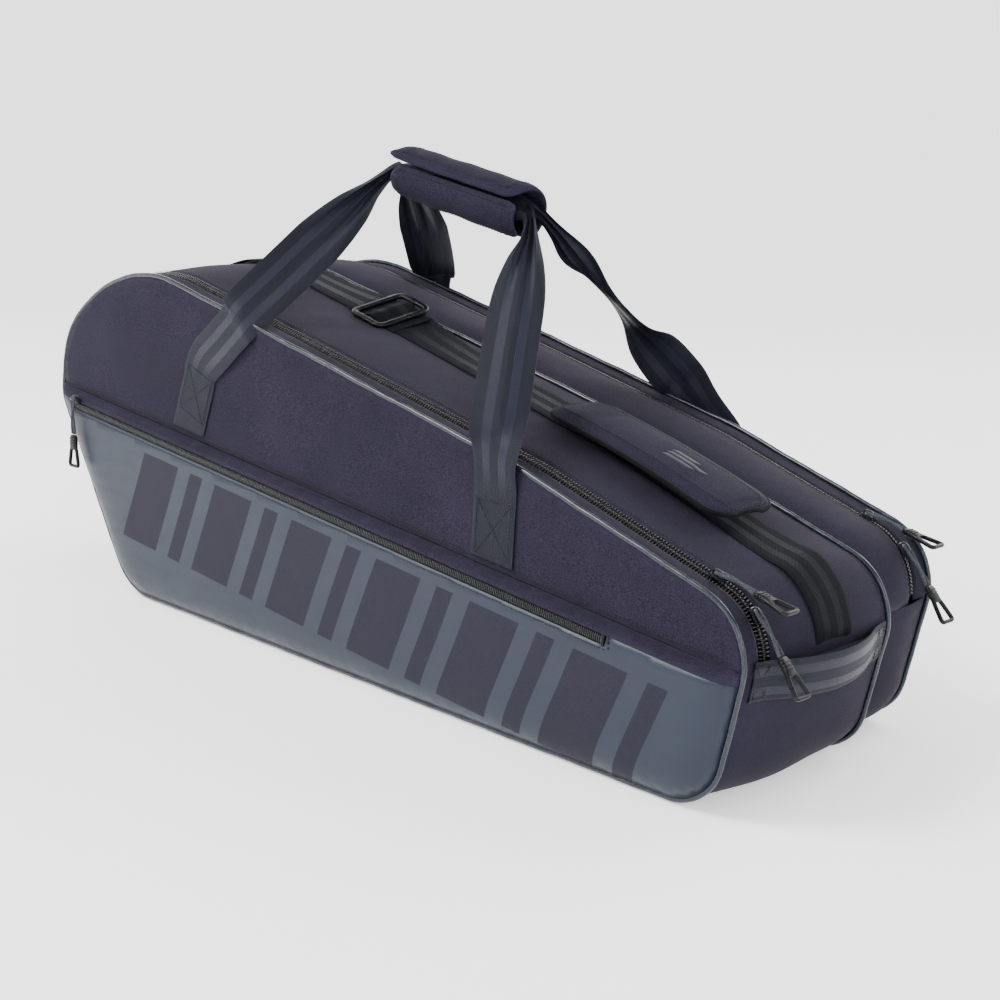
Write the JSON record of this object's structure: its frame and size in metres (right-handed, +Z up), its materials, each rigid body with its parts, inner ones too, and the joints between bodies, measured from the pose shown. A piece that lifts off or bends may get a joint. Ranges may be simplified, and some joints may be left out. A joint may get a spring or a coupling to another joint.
{
  "type": "racket tournament bag",
  "caption": "Long soft racket bag with two zipped compartments, a flat front pocket, carry handles joined by a padded wrap, a shoulder strap and an end grab handle",
  "frame": {"origin": "centre of the bounding box at the level the bag stands on", "axes": "+Z up, +X along the bag from the big round end to the narrow end, front with the flat pocket faces -Y"},
  "size_m": [0.7843, 0.2791, 0.3891],
  "materials": {
    "panel_fabric": "charcoal melange polyester",
    "coated_fabric": "slate blue coated polyester, satin",
    "piping": "glossy blue-grey covered piping",
    "zip_coil": "black coil on woven tape",
    "webbing": "dark slate ribbed webbing",
    "lining": "black lining",
    "board": "stiffener board",
    "slider_metal": "black lacquered",
    "puller_cord": "grey cord",
    "puller_tab": "moulded soft grip",
    "buckle": "black moulded"
  },
  "bodies": {
    "bag": {"front_lower_panel": "panel_fabric", "front_top_gusset": "panel_fabric", "front_bottom_gusset": "panel_fabric", "front_zip_body": "zip_coil", "rear_lower_panel": "panel_fabric", "rear_top_gusset": "panel_fabric", "rear_bottom_gusset": "panel_fabric", "rear_zip_body": "zip_coil", "divider": "lining", "front_lower_piping": "piping", "rear_lower_piping": "piping", "centre_piping": "piping", "pocket_front": "coated_fabric", "pocket_zip": "zip_coil", "front_base_board": "board", "rear_base_board": "board", "grab_handle": "webbing", "strap_end_left": "webbing", "strap_end_right": "webbing"},
    "front_lid": {"front_lid_panel": "panel_fabric", "front_lid_strip": "panel_fabric", "front_zip_lid": "zip_coil", "front_lid_piping": "piping", "front_patch_left": "webbing", "front_patch_right": "webbing"},
    "front_handle": {"front_leg_left": "webbing", "front_leg_right": "webbing", "front_grip": "webbing"},
    "front_slider_top": {"front_slider_top": "slider_metal"},
    "front_slider_top_puller": {"front_slider_top_cord": "puller_cord", "front_slider_top_tab": "puller_tab"},
    "front_slider_end": {"front_slider_end": "slider_metal"},
    "front_slider_end_puller": {"front_slider_end_cord": "puller_cord", "front_slider_end_tab": "puller_tab"},
    "rear_lid": {"rear_lid_panel": "panel_fabric", "rear_lid_strip": "panel_fabric", "rear_zip_lid": "zip_coil", "rear_lid_piping": "piping", "rear_patch_left": "webbing", "rear_patch_right": "webbing"},
    "rear_handle": {"rear_leg_left": "webbing", "rear_leg_right": "webbing", "rear_grip": "webbing", "handle_wrap": "panel_fabric"},
    "rear_slider_top": {"rear_slider_top": "slider_metal"},
    "rear_slider_top_puller": {"rear_slider_top_cord": "puller_cord", "rear_slider_top_tab": "puller_tab"},
    "rear_slider_end": {"rear_slider_end": "slider_metal"},
    "rear_slider_end_puller": {"rear_slider_end_cord": "puller_cord", "rear_slider_end_tab": "puller_tab"},
    "wrap_flap": {"handle_wrap_flap": "panel_fabric"},
    "strap": {"strap_webbing": "webbing"},
    "pad": {"shoulder_pad": "panel_fabric"},
    "buckle": {"strap_buckle": "buckle"},
    "pocket_slider": {"pocket_slider": "slider_metal"},
    "pocket_puller": {"pocket_slider_cord": "puller_cord", "pocket_slider_tab": "puller_tab"}
  },
  "joints": [
    {"name": "front_lid_fold", "type": "hinge", "parent": "bag", "child": "front_lid", "pos_m": [-0.01287, -0.12311, 0.13419], "axis": [0.9954, 0, -0.0956], "range_deg": [0, 85]},
    {"name": "front_handle_swing", "type": "hinge", "parent": "front_lid", "child": "front_handle", "pos_m": [-0.01487, -0.12511, 0.191], "axis": [0.9941, 0, -0.1084], "range_deg": [0, 135]},
    {"name": "front_slider_top_slide", "type": "slide", "parent": "front_lid", "child": "front_slider_top", "axis": [-0.9589, 0, 0.2836], "range_m": [0, 0.128]},
    {"name": "front_slider_top_puller_swing", "type": "hinge", "parent": "front_slider_top", "child": "front_slider_top_puller", "pos_m": [0.32271, -0.09791, 0.14677], "axis": [0, -1, 0], "range_deg": [0, 150]},
    {"name": "front_slider_end_run", "type": "hinge", "parent": "front_lid", "child": "front_slider_end", "pos_m": [0.31704, -0.09791, 0.09938], "axis": [0, 1, 0], "range_deg": [0, 8]},
    {"name": "front_slider_end_puller_swing", "type": "hinge", "parent": "front_slider_end", "child": "front_slider_end_puller", "pos_m": [0.35308, -0.09791, 0.12962], "axis": [0, -1, 0], "range_deg": [0, 45]},
    {"name": "rear_lid_fold", "type": "hinge", "parent": "bag", "child": "rear_lid", "pos_m": [-0.01287, 0.12929, 0.13419], "axis": [-0.9954, 0, 0.0956], "range_deg": [0, 85]},
    {"name": "rear_handle_swing", "type": "hinge", "parent": "rear_lid", "child": "rear_handle", "pos_m": [-0.01487, 0.13129, 0.191], "axis": [-0.9941, 0, 0.1084], "range_deg": [0, 135]},
    {"name": "rear_slider_top_slide", "type": "slide", "parent": "rear_lid", "child": "rear_slider_top", "axis": [-0.9589, 0, 0.2836], "range_m": [0, 0.106]},
    {"name": "rear_slider_top_puller_swing", "type": "hinge", "parent": "rear_slider_top", "child": "rear_slider_top_puller", "pos_m": [0.30306, 0.10409, 0.15258], "axis": [0, -1, 0], "range_deg": [0, 150]},
    {"name": "rear_slider_end_run", "type": "hinge", "parent": "rear_lid", "child": "rear_slider_end", "pos_m": [0.29739, 0.10409, 0.10519], "axis": [0, 1, 0], "range_deg": [0, 8]},
    {"name": "rear_slider_end_puller_swing", "type": "hinge", "parent": "rear_slider_end", "child": "rear_slider_end_puller", "pos_m": [0.33343, 0.10409, 0.13543], "axis": [0, -1, 0], "range_deg": [0, 45]},
    {"name": "wrap_flap_open", "type": "hinge", "parent": "rear_handle", "child": "wrap_flap", "pos_m": [-0.02031, 0.00309, 0.33769], "axis": [0.986, 0, -0.1668], "range_deg": [0, 110]},
    {"name": "strap_lift", "type": "slide", "parent": "bag", "child": "strap", "axis": [0, 0, 1], "range_m": [0, 0.06], "deforming": ["strap_end_left", "strap_end_right"]},
    {"name": "pad_slide", "type": "slide", "parent": "strap", "child": "pad", "axis": [0.9672, -0.0592, -0.247], "range_m": [-0.035, 0.03]},
    {"name": "buckle_slide", "type": "slide", "parent": "strap", "child": "buckle", "axis": [0.9764, -0.0597, -0.2074], "range_m": [-0.09, 0.12]},
    {"name": "pocket_slider_slide", "type": "slide", "parent": "bag", "child": "pocket_slider", "axis": [0.9954, 0, -0.0956], "range_m": [0, 0.6]},
    {"name": "pocket_puller_swing", "type": "hinge", "parent": "pocket_slider", "child": "pocket_puller", "pos_m": [-0.35087, -0.13651, 0.16164], "axis": [-0.9954, 0, 0.0956], "range_deg": [0, 80]}
  ]
}
